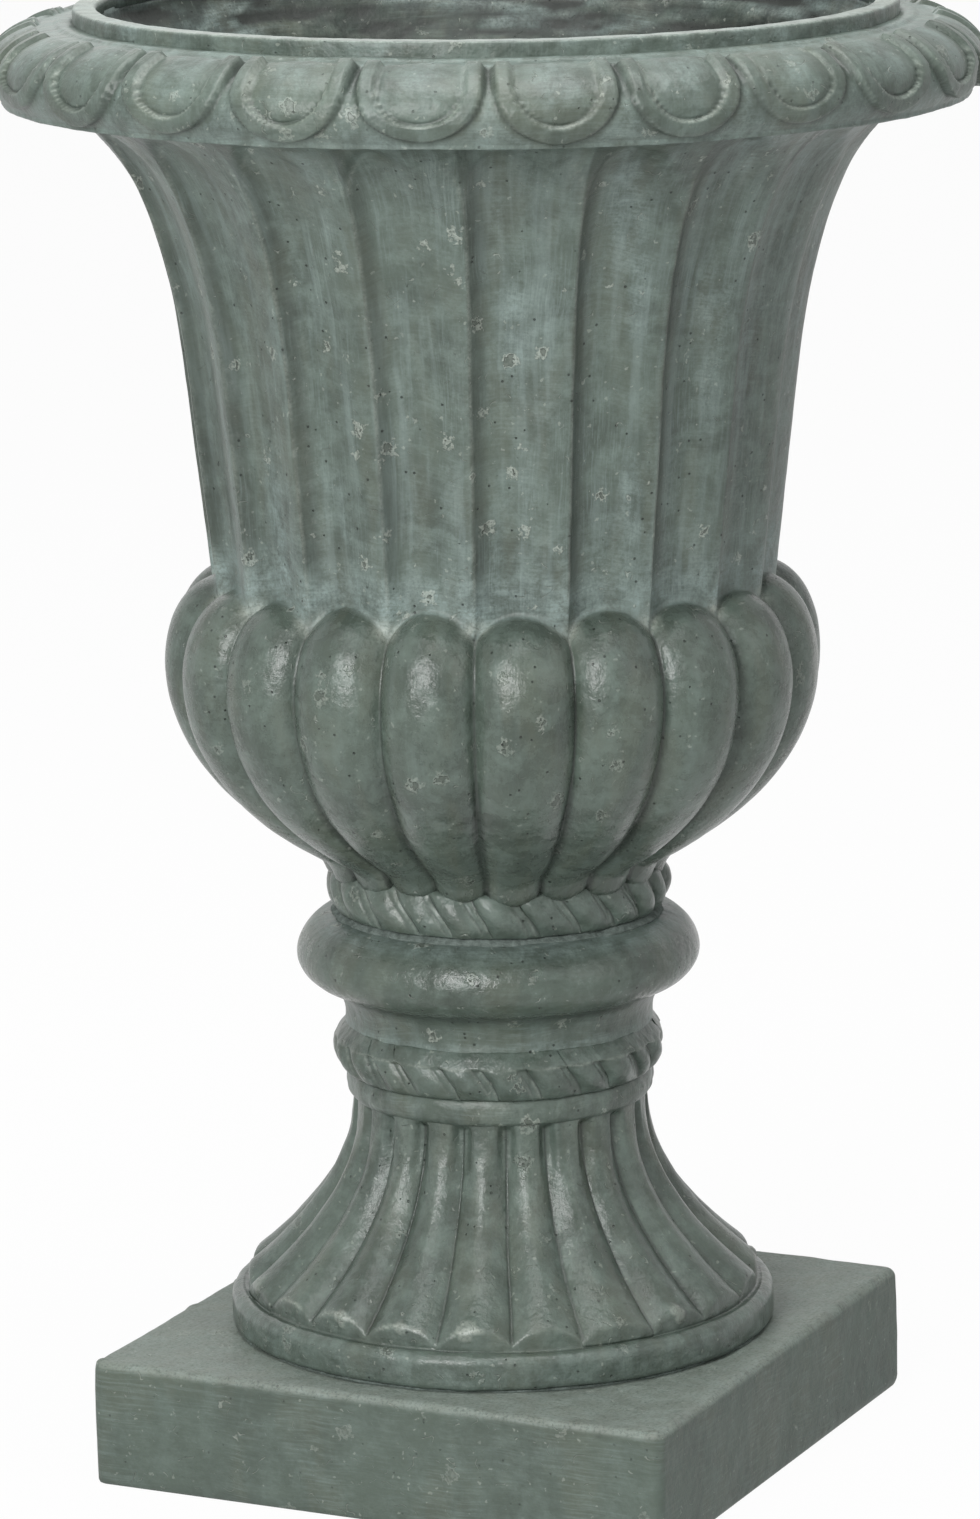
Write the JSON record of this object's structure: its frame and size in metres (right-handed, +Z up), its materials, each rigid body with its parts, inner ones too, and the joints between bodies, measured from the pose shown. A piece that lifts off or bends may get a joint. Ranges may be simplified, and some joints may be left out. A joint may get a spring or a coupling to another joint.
{
  "type": "garden urn planter",
  "caption": "Classical floor urn for plants: fluted and gadrooned bowl with carved rim on a reeded pedestal and square plinth, with plugged drain holes.",
  "frame": {"origin": "centre of the plinth's underside", "axes": "+Z up through the mouth, +X and +Y square to the plinth's sides"},
  "size_m": [0.5046, 0.5046, 0.7505],
  "materials": {
    "cast_clay": "satin",
    "mortar": "matte",
    "zinc_steel": "satin",
    "rubber": "matte"
  },
  "bodies": {
    "urn": {"bowl": "cast_clay", "pedestal": "cast_clay", "plinth": "cast_clay", "bowl_bedding": "mortar", "pedestal_bedding": "mortar", "tie_rod": "zinc_steel", "top_nut": "zinc_steel", "top_washer": "zinc_steel", "clamp_bar": "zinc_steel", "bottom_washer": "zinc_steel", "bottom_nut": "zinc_steel", "jam_nut": "zinc_steel", "top_seal": "rubber"},
    "drain_plug_1": {"drain_plug_1": "rubber"},
    "drain_plug_2": {"drain_plug_2": "rubber"},
    "drain_plug_3": {"drain_plug_3": "rubber"}
  },
  "joints": [
    {"name": "plug_pull_1", "type": "slide", "parent": "urn", "child": "drain_plug_1", "axis": [0, 0, 1], "range_m": [0, 0.46]},
    {"name": "plug_pull_2", "type": "slide", "parent": "urn", "child": "drain_plug_2", "axis": [0, 0, 1], "range_m": [0, 0.46]},
    {"name": "plug_pull_3", "type": "slide", "parent": "urn", "child": "drain_plug_3", "axis": [0, 0, 1], "range_m": [0, 0.46]}
  ]
}
